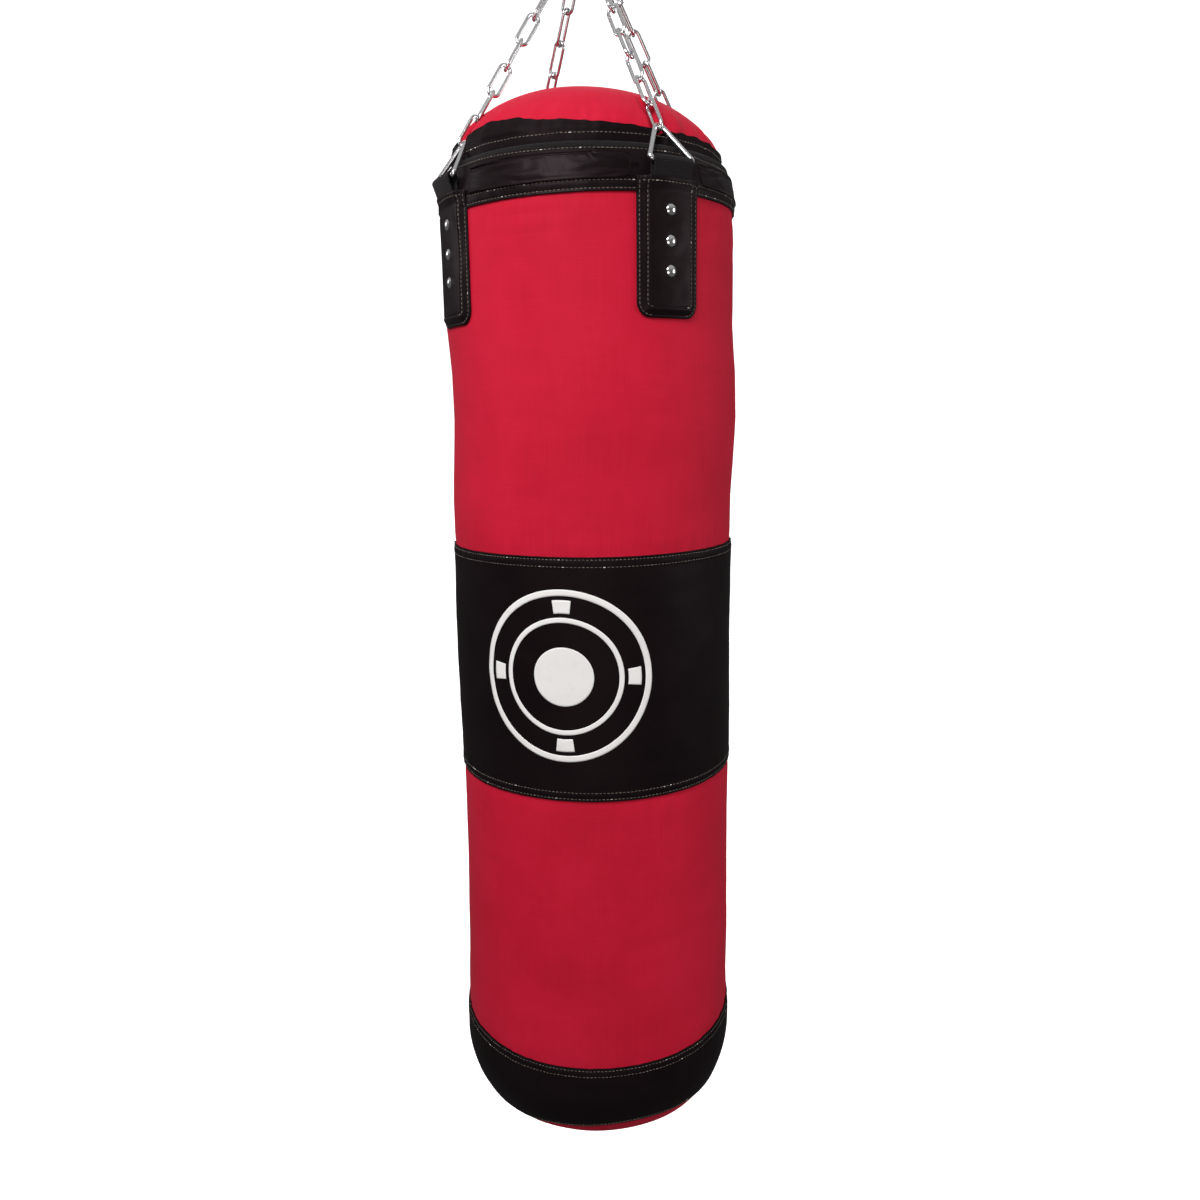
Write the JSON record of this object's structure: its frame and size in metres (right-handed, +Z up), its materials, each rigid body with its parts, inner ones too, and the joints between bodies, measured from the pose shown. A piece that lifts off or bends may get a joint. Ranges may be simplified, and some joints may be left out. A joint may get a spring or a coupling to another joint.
{
  "type": "hanging punching bag",
  "caption": "Tall round-bottomed fabric punching bag hung by riveted straps, wire triangles and chain legs from a snap carabiner and a ball-bearing swivel eye.",
  "frame": {"origin": "centre of the swivel's upper eye, by which the whole bag hangs", "axes": "+Z up along the line of hang; +Y along the upper eye's bore; the printed front faces -Y, and the four straps sit at 45 degrees to X and Y"},
  "size_m": [0.3452, 0.3452, 1.5348],
  "materials": {
    "canvas": "red coated Oxford canvas, fine plain weave, soft sheen",
    "leatherette": "black leatherette, semi-gloss with creases, pale stitching",
    "webbing": "black woven webbing",
    "print_ink": "white screen-printed ink",
    "plated_wire": "bright plated steel wire",
    "rivet_steel": "polished domed rivets",
    "forged_steel": "zinc-plated forging",
    "bearing_steel": "hardened steel",
    "foam": "closed-cell foam sheet",
    "textile": "compressed textile clippings",
    "zip_tape": "black woven zip tape",
    "zip_teeth": "black nylon coil teeth",
    "zip_metal": "black painted zinc"
  },
  "bodies": {
    "swivel_top": {"swivel_eye": "forged_steel", "swivel_base_ring": "forged_steel", "bearing_race_lower": "bearing_steel", "bearing_balls": "bearing_steel"},
    "swivel_stem": {"bearing_race_upper": "bearing_steel", "swivel_nut": "forged_steel", "swivel_shank": "forged_steel"},
    "carabiner": {"carabiner_body": "plated_wire", "gate_pin": "bearing_steel"},
    "gate": {"carabiner_gate": "plated_wire", "gate_nose_pin": "bearing_steel", "gate_plunger": "bearing_steel", "gate_spring": "bearing_steel"},
    "bag": {"end_link_front_right": "plated_wire", "chain_front_right": "plated_wire", "triangle_front_right": "plated_wire", "strap_webbing_front_right": "webbing", "strap_tab_front_right": "leatherette", "rivets_front_right": "rivet_steel", "end_link_back_right": "plated_wire", "chain_back_right": "plated_wire", "triangle_back_right": "plated_wire", "strap_webbing_back_right": "webbing", "strap_tab_back_right": "leatherette", "rivets_back_right": "rivet_steel", "end_link_back_left": "plated_wire", "chain_back_left": "plated_wire", "triangle_back_left": "plated_wire", "strap_webbing_back_left": "webbing", "strap_tab_back_left": "leatherette", "rivets_back_left": "rivet_steel", "end_link_front_left": "plated_wire", "chain_front_left": "plated_wire", "triangle_front_left": "plated_wire", "strap_webbing_front_left": "webbing", "strap_tab_front_left": "leatherette", "rivets_front_left": "rivet_steel", "cover_body": "canvas", "cover_base": "canvas", "lid_panel": "canvas", "lid_skirt": "leatherette", "band_top": "leatherette", "band_middle": "leatherette", "band_bottom": "leatherette", "target_print": "print_ink", "foam_liner": "foam", "foam_base_pad": "foam", "textile_fill": "textile", "zip_tape_outer": "zip_tape", "zip_tape_inner": "zip_tape", "zip_teeth_outer": "zip_teeth", "zip_teeth_inner": "zip_teeth"},
    "zip_slider": {"zip_slider": "zip_metal"},
    "zip_pull": {"zip_pull": "zip_metal"}
  },
  "joints": [
    {"name": "swivel_spin", "type": "hinge", "parent": "swivel_top", "child": "swivel_stem", "pos_m": [0, 0, -0.04], "axis": [0, 0, 1], "continuous": true},
    {"name": "swing_side", "type": "hinge", "parent": "swivel_stem", "child": "carabiner", "pos_m": [0, 0, -0.08575], "axis": [0, 1, 0], "range_deg": [-40, 40]},
    {"name": "swing_fore_aft", "type": "hinge", "parent": "carabiner", "child": "bag", "pos_m": [0, 0, -0.1622], "axis": [1, 0, 0], "range_deg": [-40, 40]},
    {"name": "gate_open", "type": "hinge", "parent": "carabiner", "child": "gate", "pos_m": [0.01405, 0, -0.09475], "axis": [0, 1, 0], "range_deg": [0, 24], "stiffness_Nm_per_rad": 0.05, "springref_deg": -17.19},
    {"name": "zip_run", "type": "hinge", "parent": "bag", "child": "zip_slider", "pos_m": [0, 0, -0.39948], "axis": [0, 0, 1], "range_deg": [0, 300]},
    {"name": "pull_flip", "type": "hinge", "parent": "zip_slider", "child": "zip_pull", "pos_m": [0.06466, 0.13867, -0.39808], "axis": [0.4226, 0.9063, 0], "range_deg": [0, 170]}
  ]
}
